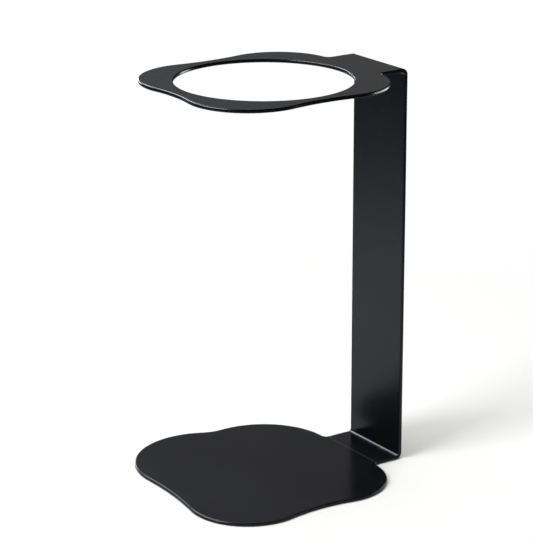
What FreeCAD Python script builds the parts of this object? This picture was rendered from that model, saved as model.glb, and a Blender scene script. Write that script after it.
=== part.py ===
import FreeCAD, Part

import math
import os

import Sketcher
from FreeCAD import Vector

# Pour over dripper stand, folded from one sheet of steel, in millimetres.
# Z is up and zero at the floor, and the dripper hole's axis is the Z axis.
# The post stands behind the hole, at +Y.
#
# The sheet is a strip with a wavy plate at each end, folded twice. A plate's
# outline is four round lobes, the hollow waists that join them, and a notch
# at each side of the neck that runs into the post.

sizes = {
    "sheetThickness": 2.0,
    "standHeight": 212.5,
    "postWidth": 43.5,
    "postReach": 17.0,  # from the ring plate's rear lobes to the post's inner face
    "bendInnerRadius": 1.5,
    "notchRadius": 3.0,
    "edgeRounding": 0.4,
    "holeDiameter": 90.0,
    # Ring plate, the same on both sides. A lobe's rim is how far it reaches past the hole.
    "ringFrontLobeX": 21.0,
    "ringFrontLobeY": 23.0,
    "ringFrontLobeRim": 17.8,
    "ringRearLobeX": 22.0,
    "ringRearLobeY": 23.5,
    "ringRearLobeRim": 17.8,
    "ringFrontWaistRadius": 85.0,
    "ringSideWaistRadius": 110.0,
    # Base plate, fullest at its front left
    "baseFrontLeftX": 31.5,
    "baseFrontLeftY": 15.5,
    "baseFrontLeftRadius": 38.5,
    "baseFrontRightX": 22.0,
    "baseFrontRightY": 25.5,
    "baseFrontRightRadius": 31.5,
    "baseRearLeftX": 25.0,
    "baseRearLeftY": 16.0,
    "baseRearLeftRadius": 38.0,
    "baseRearRightX": 24.0,
    "baseRearRightY": 24.0,
    "baseRearRightRadius": 30.0,
    "baseFrontWaistRadius": 190.0,
    "baseLeftWaistRadius": 20.0,
    "baseRightWaistRadius": 90.0,
}

doc = FreeCAD.newDocument("DripperStand")
sheet = doc.addObject("Spreadsheet::Sheet", "Sizes")
for row, (alias, number) in enumerate(sizes.items(), start=1):
    sheet.set(f"A{row}", alias)
    sheet.set(f"B{row}", str(number))
    sheet.setAlias(f"B{row}", alias)
doc.recompute()

# Worked out from the sizes, as expressions that the sketches and features share
halfWidth = "Sizes.postWidth / 2"
holeRadius = "Sizes.holeDiameter / 2"
ringFrontRadius = (
    f"{holeRadius} + Sizes.ringFrontLobeRim - hypot(Sizes.ringFrontLobeX; Sizes.ringFrontLobeY)"
)
ringRearRadius = (
    f"{holeRadius} + Sizes.ringRearLobeRim - hypot(Sizes.ringRearLobeX; Sizes.ringRearLobeY)"
)
postInnerFace = f"Sizes.ringRearLobeY + {ringRearRadius} + Sizes.postReach"
bendStart = f"{postInnerFace} - Sizes.bendInnerRadius"
bendOuterRadius = "Sizes.bendInnerRadius + Sizes.sheetThickness"
ringUnderside = "Sizes.standHeight - Sizes.sheetThickness"

# Each plate's lobes, as expressions for the centre's X and Y and the radius
ringLobes = {
    "frontLeft": ("-Sizes.ringFrontLobeX", "-Sizes.ringFrontLobeY", ringFrontRadius),
    "frontRight": ("Sizes.ringFrontLobeX", "-Sizes.ringFrontLobeY", ringFrontRadius),
    "rearRight": ("Sizes.ringRearLobeX", "Sizes.ringRearLobeY", ringRearRadius),
    "rearLeft": ("-Sizes.ringRearLobeX", "Sizes.ringRearLobeY", ringRearRadius),
}
baseLobes = {
    "frontLeft": ("-Sizes.baseFrontLeftX", "-Sizes.baseFrontLeftY", "Sizes.baseFrontLeftRadius"),
    "frontRight": ("Sizes.baseFrontRightX", "-Sizes.baseFrontRightY", "Sizes.baseFrontRightRadius"),
    "rearRight": ("Sizes.baseRearRightX", "Sizes.baseRearRightY", "Sizes.baseRearRightRadius"),
    "rearLeft": ("-Sizes.baseRearLeftX", "Sizes.baseRearLeftY", "Sizes.baseRearLeftRadius"),
}

sketchOrigin = (-1, 1)
arcCentre = 3
nearlyParallel = 0.99  # cosine of the angle between two directions
volumeTolerance = 1e-3  # as a share of the volume


def value(expression):
    return float(sheet.evalExpression(expression))


def newSketch(body, name, role, lift=None):
    """A sketch on one of the body's own planes, raised by the lift expression."""
    plane = next(o for o in body.Origin.OriginFeatures if o.Role == role)
    sketch = body.newObject("Sketcher::SketchObject", name)
    sketch.AttachmentSupport = (plane, [""])
    sketch.MapMode = "FlatFace"
    if lift:
        sketch.setExpression("AttachmentOffset.Base.z", lift)
    return sketch


def drive(sketch, name, expression, kind, *where):
    """Adds a dimension to a sketch and ties it to the sheet's sizes."""
    index = sketch.addConstraint(Sketcher.Constraint(kind, *where, value(expression)))
    sketch.renameConstraint(index, name)
    sketch.setExpression(f"Constraints.{name}", expression)


def arc(centre, radius, start, end):
    """Anticlockwise arc from the direction of one point to that of another."""
    first = math.atan2(start.y - centre.y, start.x - centre.x)
    last = math.atan2(end.y - centre.y, end.x - centre.x)
    return Part.ArcOfCircle(Part.Circle(centre, Vector(0, 0, 1), radius), first, last)


def waistCentre(before, after, radius):
    """Centre of the hollow arc that touches two lobes from outside.

    The lobes follow each other anticlockwise, so outside is on the right of
    the line from the first to the second.
    """
    (start, startRadius), (end, endRadius) = before, after
    span = (end - start).Length
    along = (end - start).normalize()
    outward = Vector(along.y, -along.x, 0)
    toStart = startRadius + radius
    toEnd = endRadius + radius
    foot = (toStart**2 - toEnd**2 + span**2) / (2 * span)
    return start + along * foot + outward * math.sqrt(toStart**2 - foot**2)


def notchCentre(lobe, side):
    """Centre of the hollow arc that touches a rear lobe and runs into the neck's edge."""
    centre, lobeRadius = lobe
    radius = value("Sizes.notchRadius")
    across = value(halfWidth) + radius
    rise = math.sqrt((lobeRadius + radius) ** 2 - (across - side * centre.x) ** 2)
    return Vector(side * across, centre.y + rise, 0)


def drawPlate(sketch, lobeExpressions, frontWaist, leftWaist, rightWaist):
    """Closed outline of a plate and its neck, up to where the bend starts."""
    lobes = {}
    for corner, (x, y, radius) in lobeExpressions.items():
        lobes[corner] = (Vector(value(x), value(y), 0), value(radius))
    frontLeft, frontRight, rearRight, rearLeft = lobes.values()

    half = value(halfWidth)
    notch = value("Sizes.notchRadius")
    front = waistCentre(frontLeft, frontRight, value(frontWaist))
    right = waistCentre(frontRight, rearRight, value(rightWaist))
    left = waistCentre(rearLeft, frontLeft, value(leftWaist))
    notchRight = notchCentre(rearRight, 1)
    notchLeft = notchCentre(rearLeft, -1)
    neckRight = Vector(half, notchRight.y, 0)
    neckLeft = Vector(-half, notchLeft.y, 0)
    bendRight = Vector(half, value(bendStart), 0)
    bendLeft = Vector(-half, value(bendStart), 0)

    # Anticlockwise from the front waist. A hollow arc runs the other way
    # round, so it is met at its end point.
    pieces = {
        "frontWaist": arc(front, value(frontWaist), frontRight[0], frontLeft[0]),
        "frontRight": arc(*frontRight, front, right),
        "rightWaist": arc(right, value(rightWaist), rearRight[0], frontRight[0]),
        "rearRight": arc(*rearRight, right, notchRight),
        "rightNotch": arc(notchRight, notch, neckRight, rearRight[0]),
        "neckRight": Part.LineSegment(neckRight, bendRight),
        "bendLine": Part.LineSegment(bendRight, bendLeft),
        "neckLeft": Part.LineSegment(bendLeft, neckLeft),
        "leftNotch": arc(notchLeft, notch, rearLeft[0], neckLeft),
        "rearLeft": arc(*rearLeft, notchLeft, left),
        "leftWaist": arc(left, value(leftWaist), frontLeft[0], rearLeft[0]),
        "frontLeft": arc(*frontLeft, left, front),
    }
    hollow = ("frontWaist", "rightWaist", "rightNotch", "leftNotch", "leftWaist")
    at = {name: sketch.addGeometry(curve, False) for name, curve in pieces.items()}

    names = list(pieces)
    for name, following in zip(names, names[1:] + names[:1]):
        leaves = 1 if name in hollow else 2
        meets = 2 if following in hollow else 1
        kind = "Coincident" if "bendLine" in (name, following) else "Tangent"
        sketch.addConstraint(Sketcher.Constraint(kind, at[name], leaves, at[following], meets))
    sketch.addConstraint(Sketcher.Constraint("Vertical", at["neckRight"]))
    sketch.addConstraint(Sketcher.Constraint("Vertical", at["neckLeft"]))
    sketch.addConstraint(Sketcher.Constraint("Horizontal", at["bendLine"]))

    for corner, (x, y, radius) in lobeExpressions.items():
        centre = (at[corner], arcCentre)
        drive(sketch, corner + "X", x, "DistanceX", *sketchOrigin, *centre)
        drive(sketch, corner + "Y", y, "DistanceY", *sketchOrigin, *centre)
        drive(sketch, corner + "Radius", radius, "Radius", at[corner])
    drive(sketch, "frontWaistRadius", frontWaist, "Radius", at["frontWaist"])
    drive(sketch, "leftWaistRadius", leftWaist, "Radius", at["leftWaist"])
    drive(sketch, "rightWaistRadius", rightWaist, "Radius", at["rightWaist"])
    drive(sketch, "leftNotchRadius", "Sizes.notchRadius", "Radius", at["leftNotch"])
    drive(sketch, "rightNotchRadius", "Sizes.notchRadius", "Radius", at["rightNotch"])
    drive(sketch, "rightHalf", halfWidth, "DistanceX", *sketchOrigin, at["bendLine"], 1)
    drive(sketch, "leftHalf", f"-{halfWidth}", "DistanceX", *sketchOrigin, at["bendLine"], 2)
    drive(sketch, "bendStart", bendStart, "DistanceY", *sketchOrigin, at["bendLine"], 1)


def drawFold(sketch):
    """Side profile of the post with a bend at each end, Y across and Z up."""
    inner = value("Sizes.bendInnerRadius")
    outer = value(bendOuterRadius)
    bendY = value(bendStart)
    top = value("Sizes.standHeight")
    low = Vector(bendY, outer, 0)
    high = Vector(bendY, top - outer, 0)
    down = Vector(0, -1, 0)
    out = Vector(1, 0, 0)
    up = Vector(0, 1, 0)

    pieces = {
        "lowOuter": arc(low, outer, low + down, low + out),
        "back": Part.LineSegment(low + out * outer, high + out * outer),
        "highOuter": arc(high, outer, high + out, high + up),
        "highEnd": Part.LineSegment(high + up * outer, high + up * inner),
        "highInner": arc(high, inner, high + out, high + up),
        "front": Part.LineSegment(high + out * inner, low + out * inner),
        "lowInner": arc(low, inner, low + down, low + out),
        "lowEnd": Part.LineSegment(low + down * inner, low + down * outer),
    }
    hollow = ("highInner", "lowInner")
    at = {name: sketch.addGeometry(curve, False) for name, curve in pieces.items()}

    names = list(pieces)
    for name, following in zip(names, names[1:] + names[:1]):
        leaves = 1 if name in hollow else 2
        meets = 2 if following in hollow else 1
        ends = {"highEnd", "lowEnd"} & {name, following}
        kind = "Coincident" if ends else "Tangent"
        sketch.addConstraint(Sketcher.Constraint(kind, at[name], leaves, at[following], meets))
    for name in ("back", "highEnd", "front", "lowEnd"):
        sketch.addConstraint(Sketcher.Constraint("Vertical", at[name]))
    for level, end in (("low", 1), ("high", 2)):
        outerCentre = (at[level + "Outer"], arcCentre)
        innerCentre = (at[level + "Inner"], arcCentre)
        sketch.addConstraint(Sketcher.Constraint("Coincident", *outerCentre, *innerCentre))
        sketch.addConstraint(Sketcher.Constraint("Vertical", *outerCentre, at[level + "Outer"], end))

    drive(sketch, "lowInnerRadius", "Sizes.bendInnerRadius", "Radius", at["lowInner"])
    drive(sketch, "highInnerRadius", "Sizes.bendInnerRadius", "Radius", at["highInner"])
    drive(sketch, "outerRadius", bendOuterRadius, "Radius", at["lowOuter"])
    drive(sketch, "bendStart", bendStart, "DistanceX", *sketchOrigin, at["lowOuter"], arcCentre)
    drive(sketch, "height", "Sizes.standHeight", "DistanceY", *sketchOrigin, at["highOuter"], 2)
    sketch.addConstraint(Sketcher.Constraint("PointOnObject", at["lowOuter"], 1, -1))


def isCutWall(face):
    """True of the faces that the cutting left, which run through the sheet's thickness."""
    surface = face.Surface
    if isinstance(surface, Part.Plane):
        return abs(surface.Axis.x) > nearlyParallel
    return abs(surface.Axis.z) > nearlyParallel


def rimEdges(shape):
    """Names of the edges where a broad face of the sheet meets a cut wall."""
    found = []
    for number, edge in enumerate(shape.Edges, start=1):
        faces = shape.ancestorsOfType(edge, Part.Face)
        if len(faces) == 2 and isCutWall(faces[0]) != isCutWall(faces[1]):
            found.append(f"Edge{number}")
    return found


stand = doc.addObject("PartDesign::Body", "FoldedStand")
stand.Label = "folded_stand"

baseOutline = newSketch(stand, "BaseOutline", "XY_Plane")
drawPlate(baseOutline, baseLobes, "Sizes.baseFrontWaistRadius", "Sizes.baseLeftWaistRadius",
          "Sizes.baseRightWaistRadius")
basePlate = stand.newObject("PartDesign::Pad", "BasePlate")
basePlate.Profile = baseOutline
basePlate.setExpression("Length", "Sizes.sheetThickness")
doc.recompute()

foldProfile = newSketch(stand, "FoldProfile", "YZ_Plane")
drawFold(foldProfile)
post = stand.newObject("PartDesign::Pad", "Post")
post.Profile = foldProfile
post.SideType = "Symmetric"
post.setExpression("Length", "Sizes.postWidth")
doc.recompute()

ringOutline = newSketch(stand, "RingOutline", "XY_Plane", ringUnderside)
drawPlate(ringOutline, ringLobes, "Sizes.ringFrontWaistRadius", "Sizes.ringSideWaistRadius",
          "Sizes.ringSideWaistRadius")
ringPlate = stand.newObject("PartDesign::Pad", "RingPlate")
ringPlate.Profile = ringOutline
ringPlate.setExpression("Length", "Sizes.sheetThickness")
doc.recompute()

holeOutline = newSketch(stand, "HoleOutline", "XY_Plane", "Sizes.standHeight")
holeCircle = holeOutline.addGeometry(Part.Circle(Vector(), Vector(0, 0, 1), value(holeRadius)), False)
holeOutline.addConstraint(Sketcher.Constraint("Coincident", holeCircle, arcCentre, *sketchOrigin))
drive(holeOutline, "holeRadius", holeRadius, "Radius", holeCircle)
dripperHole = stand.newObject("PartDesign::Pocket", "DripperHole")
dripperHole.Profile = holeOutline
dripperHole.setExpression("Length", "Sizes.sheetThickness")
doc.recompute()

roundedEdges = stand.newObject("PartDesign::Fillet", "RoundedEdges")
roundedEdges.Base = (dripperHole, rimEdges(dripperHole.Shape))
roundedEdges.setExpression("Radius", "Sizes.edgeRounding")
stand.Tip = roundedEdges
doc.recompute()

for item in doc.Objects:
    if "Invalid" in item.State or "Error" in item.State:
        raise RuntimeError(f"{item.Label} failed: {item.State}")
for sketch in (baseOutline, foldProfile, ringOutline, holeOutline):
    if sketch.solve() != 0 or not sketch.FullyConstrained:
        raise RuntimeError(f"{sketch.Label} is not fully held by its dimensions")
holeVolume = math.pi * value(holeRadius) ** 2 * value("Sizes.sheetThickness")
cutVolume = ringPlate.Shape.Volume - dripperHole.Shape.Volume
if abs(cutVolume - holeVolume) > volumeTolerance * holeVolume:
    raise RuntimeError(f"The hole takes {cutVolume:.1f} mm3 away, not {holeVolume:.1f}")
if stand.Shape.isNull() or not stand.Shape.isValid() or len(stand.Shape.Solids) != 1:
    raise RuntimeError("The folded stand is not one sound solid")

os.makedirs("parts", exist_ok=True)
stand.Shape.exportStep(f"parts/{stand.Label}.step")
box = stand.Shape.optimalBoundingBox()
print(f"folded_stand: {box.XLength:.1f} x {box.YLength:.1f} x {box.ZLength:.1f} mm, "
      f"{stand.Shape.Volume:.0f} mm3, {len(roundedEdges.Base[1])} rounded edges")
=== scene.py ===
import math

import bmesh
import bpy
from mathutils import Matrix, Vector


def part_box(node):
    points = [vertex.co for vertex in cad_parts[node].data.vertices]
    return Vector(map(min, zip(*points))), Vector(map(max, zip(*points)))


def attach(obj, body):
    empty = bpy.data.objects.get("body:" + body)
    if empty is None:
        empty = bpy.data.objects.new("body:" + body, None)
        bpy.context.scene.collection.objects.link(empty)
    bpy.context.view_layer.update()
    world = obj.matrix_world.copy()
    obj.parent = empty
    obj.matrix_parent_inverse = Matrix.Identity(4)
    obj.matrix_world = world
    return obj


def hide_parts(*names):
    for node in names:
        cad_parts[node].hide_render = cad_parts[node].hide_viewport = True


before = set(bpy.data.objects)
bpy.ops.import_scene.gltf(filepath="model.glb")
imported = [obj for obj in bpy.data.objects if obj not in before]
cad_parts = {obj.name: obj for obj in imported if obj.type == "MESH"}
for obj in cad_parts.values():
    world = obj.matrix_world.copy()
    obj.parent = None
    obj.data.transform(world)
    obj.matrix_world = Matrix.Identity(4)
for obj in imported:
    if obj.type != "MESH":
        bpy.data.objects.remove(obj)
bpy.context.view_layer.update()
print("frame loaded")


# The sheet in metres, with the part's own sizes but for the rims. Z is up from the floor, the
# dripper hole's axis is the Z axis and the post stands behind it at +Y.
stand = {
    "sheetThickness": 0.0020,
    "height": 0.2125,
    "postWidth": 0.0435,
    "bendInnerRadius": 0.0015,
    "notchRadius": 0.0030,
    "edgeRounding": 0.0006,  # rounder than in the part, for light lines as wide as the photo's
    "holeRadius": 0.0450,
    "lobeRim": 0.0178,  # how far the ring plate's lobes reach past the dripper hole
    "facet": 0.0008,  # longest step along a cut edge
    "bendSteps": 12,
    "edgeSteps": 6,
    "cutEdgeAngle": 60,  # degrees past which an edge counts as a cut one and is rounded
    "smoothAngle": 35,
    "mergeDistance": 0.00002,
}


def ringLobe(x, y):
    # centre and radius of a lobe whose far side is a rim's width past the hole
    return x, y, stand["holeRadius"] + stand["lobeRim"] - math.hypot(x, y)


# Each plate: its four round lobes as centre X, centre Y and radius, and the radii of the hollow
# waists between them
basePlate = {
    "rearRight": (0.0240, 0.0240, 0.0300),
    "frontRight": (0.0220, -0.0255, 0.0315),
    "frontLeft": (-0.0315, -0.0155, 0.0385),
    "rearLeft": (-0.0250, 0.0160, 0.0380),
    "rightWaist": 0.0900,
    "frontWaist": 0.1900,
    "leftWaist": 0.0200,
}
ringPlate = {
    "rearRight": ringLobe(0.0220, 0.0235),
    "frontRight": ringLobe(0.0210, -0.0230),
    "frontLeft": ringLobe(-0.0210, -0.0230),
    "rearLeft": ringLobe(-0.0220, 0.0235),
    "rightWaist": 0.1100,
    "frontWaist": 0.0850,
    "leftWaist": 0.1100,
}


def pick(isWanted):
    # selects the vertices of the open mesh by their place, with the edges between them
    sheet = bpy.context.edit_object.data
    bpy.ops.mesh.select_mode(type="VERT")
    bpy.ops.mesh.select_all(action="DESELECT")
    loose = bmesh.from_edit_mesh(sheet)
    for corner in loose.verts:
        corner.select = isWanted(corner.co)
    loose.select_flush_mode()
    bmesh.update_edit_mesh(sheet)


def near(place, *target):
    return (place - Vector(target)).length < stand["mergeDistance"]


def joinPoints(first, second):
    pick(lambda place: near(place, *first) or near(place, *second))
    bpy.ops.mesh.edge_face_add()


def mergeDoubles():
    bpy.ops.mesh.select_all(action="SELECT")
    bpy.ops.mesh.remove_doubles(threshold=stand["mergeDistance"])


def waistCentre(before, after, radius):
    # centre of the hollow arc that touches two lobes from outside, going clockwise round the plate
    start, end = Vector(before[:2]), Vector(after[:2])
    along = (end - start).normalized()
    outward = Vector((-along.y, along.x))
    span = (end - start).length
    toStart, toEnd = before[2] + radius, after[2] + radius
    foot = (toStart ** 2 - toEnd ** 2 + span ** 2) / (2 * span)
    return start + along * foot + outward * math.sqrt(toStart ** 2 - foot ** 2)


def notchCentre(lobe, side):
    # centre of the small hollow arc between a rear lobe and the neck's edge
    radius = stand["notchRadius"]
    across = stand["postWidth"] / 2 + radius
    rise = math.sqrt((lobe[2] + radius) ** 2 - (across - side * lobe[0]) ** 2)
    return Vector((side * across, lobe[1] + rise))


def frontOfRing():
    # where the ring's front waist crosses the middle
    lobe, radius = ringPlate["frontRight"], ringPlate["frontWaist"]
    reach = math.sqrt((lobe[2] + radius) ** 2 - lobe[0] ** 2)
    return lobe[1] - reach + radius


def sweep(centre, radius, start, end, turn, level):
    # spins the one selected vertex about an arc's centre: turn is 1 anticlockwise, -1 clockwise,
    # and the operator itself turns clockwise about its axis
    first = math.atan2(start.y - centre.y, start.x - centre.x)
    last = math.atan2(end.y - centre.y, end.x - centre.x)
    angle = (turn * (last - first)) % (2 * math.pi)
    steps = 2 * math.ceil(angle * radius / stand["facet"] / 2)
    bpy.ops.mesh.spin(steps=steps, angle=-turn * angle, center=(centre.x, centre.y, level), axis=(0, 0, 1))


def cutOutline(plate, bendStart, level):
    # lays the neck down as a quad and traces the plate's wavy edge from one side of it to the other
    notches = {side: notchCentre(plate[name], side) for side, name in ((1, "rearRight"), (-1, "rearLeft"))}
    neckStart = notches[1].y
    bpy.ops.mesh.select_all(action="DESELECT")
    middle = (0, (neckStart + bendStart) / 2, level)
    bpy.ops.mesh.primitive_plane_add(size=1, location=middle)
    bpy.ops.transform.resize(value=(stand["postWidth"], bendStart - neckStart, 1), center_override=middle)

    lobes = [plate[name] for name in ("rearRight", "frontRight", "frontLeft", "rearLeft")]
    waists = [plate[name] for name in ("rightWaist", "frontWaist", "leftWaist")]
    hollows = [(notches[1], stand["notchRadius"])]
    for before, after, radius in zip(lobes, lobes[1:], waists):
        hollows.append((waistCentre(before, after, radius), radius))
    hollows.append((notches[-1], stand["notchRadius"]))

    # A hollow arc and the lobe that follows it, all the way round, and then the last notch
    point = Vector((stand["postWidth"] / 2, neckStart))
    pick(lambda place: near(place, point.x, point.y, level))
    for number, lobe in enumerate(lobes):
        hollow, hollowRadius = hollows[number]
        following = hollows[number + 1][0]
        centre = Vector(lobe[:2])
        touch = centre + (hollow - centre).normalized() * lobe[2]
        sweep(hollow, hollowRadius, point, touch, 1, level)
        point = centre + (following - centre).normalized() * lobe[2]
        sweep(centre, lobe[2], touch, point, -1, level)
    hollow, hollowRadius = hollows[-1]
    sweep(hollow, hollowRadius, point, Vector((-stand["postWidth"] / 2, hollow.y)), 1, level)
    mergeDoubles()
    return neckStart


def fillPlate(neckStart, level, isWanted=lambda place: True):
    # one face inside the wavy edge, as far as the neck
    tiny = stand["mergeDistance"]
    pick(lambda place: abs(place.z - level) < tiny and place.y < neckStart + tiny and isWanted(place))
    bpy.ops.mesh.edge_face_add()


def cutBase(bendStart, level):
    neckStart = cutOutline(basePlate, bendStart, level)
    fillPlate(neckStart, level)


def cutRing(bendStart, level):
    # in two halves round the dripper hole
    tiny, hole = stand["mergeDistance"], stand["holeRadius"]
    neckStart = cutOutline(ringPlate, bendStart, level)
    pick(lambda place: abs(place.z - level) < tiny and abs(place.y - neckStart) < tiny
         and abs(place.x) > stand["postWidth"] / 2 - tiny)
    bpy.ops.mesh.subdivide(number_cuts=1)
    bpy.ops.mesh.select_all(action="DESELECT")
    steps = 4 * math.ceil(2 * math.pi * hole / stand["facet"] / 4)
    bpy.ops.mesh.primitive_circle_add(vertices=steps, radius=hole, location=(0, 0, level))
    joinPoints((0, neckStart, level), (0, hole, level))
    joinPoints((0, frontOfRing(), level), (0, -hole, level))
    fillPlate(neckStart, level, lambda place: place.x > -tiny)
    fillPlate(neckStart, level, lambda place: place.x < tiny)


def foldPost(bendStart, baseTop, ringUnder):
    # up round the lower bend, along the post and round the upper bend to the ring's neck
    inner, tiny = stand["bendInnerRadius"], stand["mergeDistance"]
    quarter = {"steps": stand["bendSteps"], "angle": -math.pi / 2, "axis": (1, 0, 0)}
    pick(lambda place: abs(place.z - baseTop) < tiny and abs(place.y - bendStart) < tiny)
    bpy.ops.mesh.spin(center=(0, bendStart, baseTop + inner), **quarter)
    rise = ringUnder - baseTop - 2 * inner
    bpy.ops.mesh.extrude_region_move(TRANSFORM_OT_translate={"value": (0, 0, rise)})
    bpy.ops.mesh.spin(center=(0, bendStart, ringUnder - inner), **quarter)
    mergeDoubles()


def faceOutwards(sheet, baseTop):
    # every face points to the sheet's outer side, which is down at the base
    bpy.ops.mesh.normals_make_consistent(inside=False)
    loose = bmesh.from_edit_mesh(sheet)
    loose.normal_update()
    onBase = [face for face in loose.faces if face.calc_center_median().z < baseTop + stand["mergeDistance"]]
    if any(face.normal.z > 0 for face in onBase):
        bpy.ops.mesh.flip_normals()


def thicken(piece):
    # the sheet's wall, its rounded cut edges and its smooth shading
    wall = piece.modifiers.new("wall", "SOLIDIFY")
    wall.thickness = stand["sheetThickness"]
    wall.offset = 1
    wall.use_even_offset = True
    rim = piece.modifiers.new("rim", "BEVEL")
    rim.width = stand["edgeRounding"]
    rim.segments = stand["edgeSteps"]
    rim.limit_method = "ANGLE"
    rim.angle_limit = math.radians(stand["cutEdgeAngle"])
    rim.loop_slide = False
    for name in ("wall", "rim"):
        bpy.ops.object.modifier_apply(modifier=name)
    bpy.ops.object.shade_smooth_by_angle(angle=math.radians(stand["smoothAngle"]))
    flats = piece.modifiers.new("flats", "WEIGHTED_NORMAL")
    flats.keep_sharp = True
    bpy.ops.object.modifier_apply(modifier="flats")


def makeFoldedStand():
    # the sheet's inner side first, as one surface: the base's top, the post's front and the
    # ring's underside
    baseTop = stand["sheetThickness"]
    ringUnder = stand["height"] - stand["sheetThickness"]
    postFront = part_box("folded_stand")[1][1] - stand["sheetThickness"]
    bendStart = postFront - stand["bendInnerRadius"]

    if bpy.context.object and bpy.context.object.mode != "OBJECT":
        bpy.ops.object.mode_set(mode="OBJECT")
    bpy.ops.object.select_all(action="DESELECT")
    bpy.ops.mesh.primitive_plane_add(size=stand["postWidth"])
    piece = bpy.context.object
    piece.name = "folded_sheet_stand"
    bpy.ops.object.mode_set(mode="EDIT")
    bpy.ops.mesh.delete(type="VERT")
    cutBase(bendStart, baseTop)
    cutRing(bendStart, ringUnder)
    foldPost(bendStart, baseTop, ringUnder)
    faceOutwards(piece.data, baseTop)
    bpy.ops.object.mode_set(mode="OBJECT")
    thicken(piece)
    return piece


foldedStand = makeFoldedStand()
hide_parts("folded_stand")
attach(foldedStand, "root")
print("folded stand:", len(foldedStand.data.polygons), "faces")


# Satin black powder coat. Lengths are in metres.
powderCoat = {
    "black": (0.0010, 0.0014, 0.0028),
    "blackPale": (0.0017, 0.0021, 0.0034),  # where handling has dulled the coat
    "paleClouds": (0.40, 0.62),  # the clouds' values where the dulling starts and is full
    "roughness": (0.20, 0.24),
    "roughClouds": (0.35, 0.65),
    "grainRoughness": 0.06,  # how much the grain adds to the roughness or takes from it
    "specular": 0.40,
    "cloudSize": 0.060,
    "grainSize": 0.0007,
    "grainDepth": 0.000006,
    "peelSize": 0.0045,
    "peelDepth": 0.000030,
}

# The faint pale line across the base, from notch to notch, a lighter stripe in the coat's colour. Each pair
# says how far it is full, and where it has gone.
paleLine = {
    "colour": (0.040, 0.040, 0.042),
    "strength": 0.8,
    "placeY": 0.05574,
    "halfWidth": (0.000165, 0.00055),
    "halfLength": (0.0205, 0.0230),
    "height": (0.0035, 0.0040),
}


def addNode(tree, kind, settings=None, **inputs):
    # a node with its settings, and its sockets either set or linked
    node = tree.nodes.new(kind)
    for name, value in (settings or {}).items():
        setattr(node, name, value)
    for name, value in inputs.items():
        socket = node.inputs[int(name[1:])] if name[0] == "_" else node.inputs[name]
        if isinstance(value, bpy.types.NodeSocket):
            tree.links.new(value, socket)
        else:
            socket.default_value = value
    return node


def newMaterial(name):
    material = bpy.data.materials.new(name)
    material.use_nodes = True
    material.node_tree.nodes.clear()
    return material, material.node_tree


def finishMaterial(tree, shader):
    output = tree.nodes.new("ShaderNodeOutputMaterial")
    tree.links.new(shader.outputs[0], output.inputs["Surface"])


def calc(tree, operation, first, second=0.0, third=0.0):
    return addNode(tree, "ShaderNodeMath", {"operation": operation}, _0=first, _1=second, _2=third).outputs[0]


def ramp(tree, value, low, high, start=0.0, end=1.0):
    return addNode(tree, "ShaderNodeMapRange", {"interpolation_type": "SMOOTHSTEP", "clamp": True},
                   _0=value, _1=low, _2=high, _3=start, _4=end).outputs[0]


def within(tree, value, limits):
    # one as far as the first limit, and nothing past the second
    full, gone = limits
    return ramp(tree, value, gone, full)


def noise(tree, place, size, detail, roughness):
    return addNode(tree, "ShaderNodeTexNoise", None, Vector=place, Scale=1 / size,
                   Detail=detail, Roughness=roughness).outputs[0]


def blend(tree, amount, first, second):
    # mixes two colours, each a plain value or a socket
    isSocket = [isinstance(colour, bpy.types.NodeSocket) for colour in (first, second)]
    first = first if isSocket[0] else (*first, 1)
    second = second if isSocket[1] else (*second, 1)
    return addNode(tree, "ShaderNodeMix", {"data_type": "RGBA"}, _0=amount, _6=first, _7=second).outputs[2]


def makePowderCoat():
    material, tree = newMaterial("satin_black_powder_coat")
    place = addNode(tree, "ShaderNodeTexCoord").outputs["Object"]
    clouds = noise(tree, place, powderCoat["cloudSize"], 3.0, 0.6)
    grain = noise(tree, place, powderCoat["grainSize"], 3.0, 0.6)
    peel = noise(tree, place, powderCoat["peelSize"], 1.0, 0.4)

    side, along, height = addNode(tree, "ShaderNodeSeparateXYZ", None, Vector=place).outputs
    offLine = calc(tree, "ABSOLUTE", calc(tree, "SUBTRACT", along, paleLine["placeY"]))
    onLine = within(tree, offLine, paleLine["halfWidth"])
    inNeck = within(tree, calc(tree, "ABSOLUTE", side), paleLine["halfLength"])
    onBase = within(tree, height, paleLine["height"])
    paleLineMask = calc(tree, "MULTIPLY", calc(tree, "MULTIPLY", onLine, inNeck), onBase)

    dulled = ramp(tree, clouds, *powderCoat["paleClouds"])
    coat = blend(tree, dulled, powderCoat["black"], powderCoat["blackPale"])
    paleLineAmount = calc(tree, "MULTIPLY", paleLineMask, paleLine["strength"])
    coat = blend(tree, paleLineAmount, coat, paleLine["colour"])

    rough = ramp(tree, clouds, *powderCoat["roughClouds"], *powderCoat["roughness"])
    fineness = calc(tree, "MULTIPLY", calc(tree, "SUBTRACT", grain, 0.5), powderCoat["grainRoughness"])
    rough = calc(tree, "ADD", rough, fineness)

    relief = calc(tree, "ADD", calc(tree, "MULTIPLY", grain, powderCoat["grainDepth"]),
                  calc(tree, "MULTIPLY", peel, powderCoat["peelDepth"]))
    bump = addNode(tree, "ShaderNodeBump", None, Strength=1.0, Distance=1.0, Height=relief)
    shader = addNode(tree, "ShaderNodeBsdfPrincipled", None, Roughness=rough, Normal=bump.outputs[0])
    tree.links.new(coat, shader.inputs["Base Color"])
    shader.inputs["Specular IOR Level"].default_value = powderCoat["specular"]
    finishMaterial(tree, shader)
    return material


foldedStand.data.materials.clear()
foldedStand.data.materials.append(makePowderCoat())
print("powder coat done")


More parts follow.
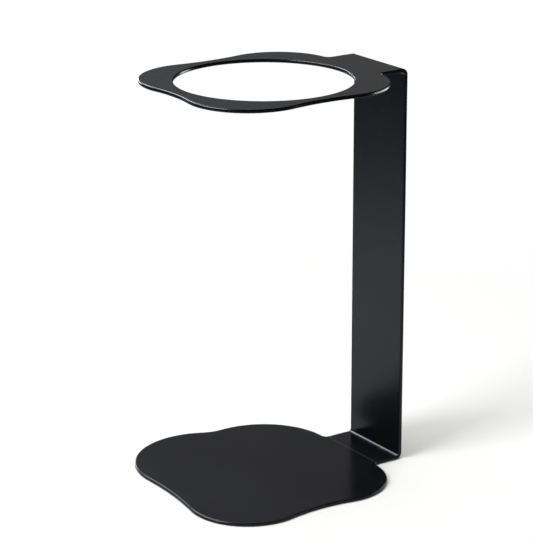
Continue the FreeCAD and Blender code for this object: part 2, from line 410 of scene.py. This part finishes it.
studio = {
    "floorSize": 8.0,
    "floorShown": (0.97, 0.97, 0.97),  # the floor as the camera sees it
    "floorWhite": 1.0,
    "shadowKept": (1.0, 0.0),  # how much of the lit floor shows: beside the stand, and far from it
    "shadowReach": (0.10, 0.45),
    "floorColour": (0.50, 0.52, 0.56),  # the floor as the coat mirrors it, near the stand
    "floorFarPaintedShade": (0.12, 0.135, 0.17),  # and darker far from the stand: painted shade for the light falling off with distance
    # where the floor's painted shade starts and is full, by distance from the stand
    "paintedShadeReach": (0.22, 0.75),
    "backdrop": (1.0, 1.0, 1.0),
    "worldColour": (0.03, 0.03, 0.03),
    "lampAim": (0.0, 0.0, 0.11),
}

softboxes = {
    # where it stands, its width and height, its radiance, and whether it lights the floor and
    # whether the coat mirrors it
    "keySoftbox": ((0.0, -0.94, 0.72), (0.66, 0.62), (8.6, 8.5, 8.35), True, False),
    "topSoftbox": ((-0.15, 0.10, 1.15), (0.80, 0.80), (5.7, 5.7, 5.6), True, False),
    "leftSoftbox": ((-0.87, 0.02, 0.76), (0.62, 0.30), (8.6, 9.0, 10.2), False, True),
    "frontLeftSoftbox": ((-0.66, -0.50, 0.86), (0.55, 0.24), (6.0, 6.0, 6.0), False, True),
    "frontTopSoftbox": ((-0.28, -0.74, 1.10), (0.80, 0.42), (6.5, 6.5, 6.5), False, True),
    "frontStrip": ((-0.13, -0.90, 0.73), (0.92, 0.22), (24.0, 24.0, 24.0), False, True),
    "leftStrip": ((-1.12, 0.04, 0.17), (0.66, 0.18), (14.0, 14.0, 14.0), False, True),
    "rightBackStrip": ((0.12, 0.60, 0.07), (0.52, 0.09), (7.0, 7.0, 7.0), False, True),
    "backTopSoftbox": ((-0.62, 0.42, 1.15), (0.50, 0.40), (3.0, 3.0, 3.0), False, True),
    "backCard": ((-0.90, 0.62, 0.64), (0.60, 0.78), (0.160, 0.160, 0.160), True, True),
}


def makeFloor():
    bpy.ops.object.select_all(action="DESELECT")
    bpy.ops.mesh.primitive_plane_add(size=studio["floorSize"], location=(0, 0, 0))
    floor = bpy.context.object
    floor.name = "studio_floor"
    material, tree = newMaterial("studio_floor_white")
    place = addNode(tree, "ShaderNodeTexCoord").outputs["Object"]
    away = addNode(tree, "ShaderNodeVectorMath", {"operation": "LENGTH"}, _0=place).outputs["Value"]

    # What the coat mirrors: the floor, grey near the stand and darker far from it, painted shade for the
    # light falling off with distance
    farShade = ramp(tree, away, *studio["paintedShadeReach"])
    mirroredFloorShaded = blend(tree, farShade, studio["floorColour"], studio["floorFarPaintedShade"])
    mirrored = addNode(tree, "ShaderNodeBsdfDiffuse", None, Color=mirroredFloorShaded)

    # What the camera sees: the lit floor with the stand's shadow, which fades into plain white
    lit = addNode(tree, "ShaderNodeBsdfDiffuse", None, Color=(*studio["floorShown"], 1))
    white = addNode(tree, "ShaderNodeEmission", None, Color=(*studio["backdrop"], 1),
                    Strength=studio["floorWhite"])
    kept = ramp(tree, away, *studio["shadowReach"], *studio["shadowKept"])
    shown = addNode(tree, "ShaderNodeMixShader", None, _0=kept, _1=white.outputs[0], _2=lit.outputs[0])
    seen = addNode(tree, "ShaderNodeLightPath").outputs["Is Camera Ray"]
    both = addNode(tree, "ShaderNodeMixShader", None, _0=seen, _1=mirrored.outputs[0], _2=shown.outputs[0])
    finishMaterial(tree, both)
    floor.data.materials.append(material)


def makeSoftbox(name, place, size, radiance, lightsFloor, isMirrored):
    lamp = bpy.data.lights.new(name, "AREA")
    lamp.shape = "RECTANGLE"
    lamp.size, lamp.size_y = size
    strength = max(radiance)
    lamp.color = [part / strength for part in radiance]
    lamp.energy = strength * math.pi * size[0] * size[1]
    box = bpy.data.objects.new(name, lamp)
    bpy.context.scene.collection.objects.link(box)
    box.location = place
    aim = Vector(studio["lampAim"]) - Vector(place)
    box.rotation_euler = aim.to_track_quat("-Z", "Y").to_euler()
    box.visible_camera = False
    box.visible_diffuse = lightsFloor
    box.visible_glossy = isMirrored


def makeWorld():
    # white for camera rays alone: if the coat mirrored that white too, its black would turn grey
    world = bpy.data.worlds.new("studio_world")
    world.use_nodes = True
    tree = world.node_tree
    seen = addNode(tree, "ShaderNodeLightPath").outputs["Is Camera Ray"]
    sky = blend(tree, seen, studio["worldColour"], studio["backdrop"])
    tree.links.new(sky, tree.nodes["Background"].inputs[0])
    bpy.context.scene.world = world


makeFloor()
for name, settings in softboxes.items():
    makeSoftbox(name, *settings)
makeWorld()
print("floor and light done")


view = {
    "turn": 55.811,  # degrees round the stand from its open front
    "rise": 18.128,
    "roll": -0.159,
    "distance": 1.1511,
    "aimSide": 0.00098,
    "aimHeight": 0.11273,
    "focalPixels": 2267.8,
    "imageHeight": 542,
    "sensorWidth": 36,  # millimetres
    "clipEnd": 50,
}


def makeCamera():
    turn, rise, roll = (math.radians(view[name]) for name in ("turn", "rise", "roll"))
    right = Vector((math.cos(turn), math.sin(turn), 0))
    back = Vector((math.sin(turn) * math.cos(rise), -math.cos(turn) * math.cos(rise), math.sin(rise)))
    lens = bpy.data.cameras.new("photo_camera")
    lens.sensor_width = view["sensorWidth"]
    lens.lens = view["focalPixels"] * lens.sensor_width / view["imageHeight"]
    lens.clip_end = view["clipEnd"]
    camera = bpy.data.objects.new("photo_camera", lens)
    bpy.context.scene.collection.objects.link(camera)
    camera.location = Vector((0, 0, view["aimHeight"])) + right * view["aimSide"] + back * view["distance"]
    facing = (Matrix.Rotation(turn, 3, "Z") @ Matrix.Rotation(math.pi / 2 - rise, 3, "X")
              @ Matrix.Rotation(roll, 3, "Z"))
    camera.rotation_euler = facing.to_euler()
    bpy.context.scene.camera = camera


makeCamera()
bpy.context.scene.view_settings.view_transform = "Standard"
print("camera done")
